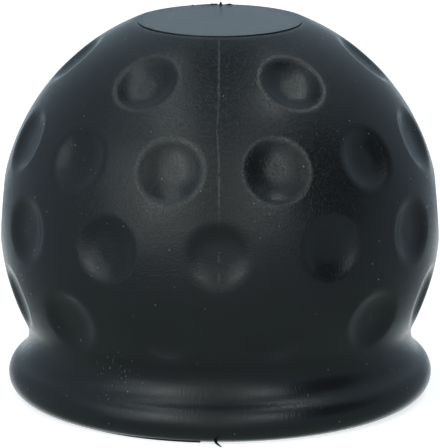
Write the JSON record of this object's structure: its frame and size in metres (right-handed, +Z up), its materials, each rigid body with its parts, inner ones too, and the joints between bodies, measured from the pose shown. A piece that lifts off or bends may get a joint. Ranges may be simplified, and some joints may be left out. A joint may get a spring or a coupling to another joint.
{
  "type": "tow ball cover",
  "caption": "Soft black moulded cap that snaps over a tow ball: a dimpled dome with a flat crown, on a narrow waist and a rolled rim around an open mouth.",
  "frame": {"origin": "middle of the rim's flat foot, on the surface the cover stands on", "axes": "+Z up the cap's own axis to the crown; -Y to the front, where the mould's parting line shows; +X to the right seen from the front"},
  "size_m": [0.0598, 0.0598, 0.0514],
  "materials": {
    "soft_plastic": "satin black moulded soft plastic with a fine even grain"
  },
  "bodies": {
    "root": {"cover": "soft_plastic"}
  },
  "joints": []
}
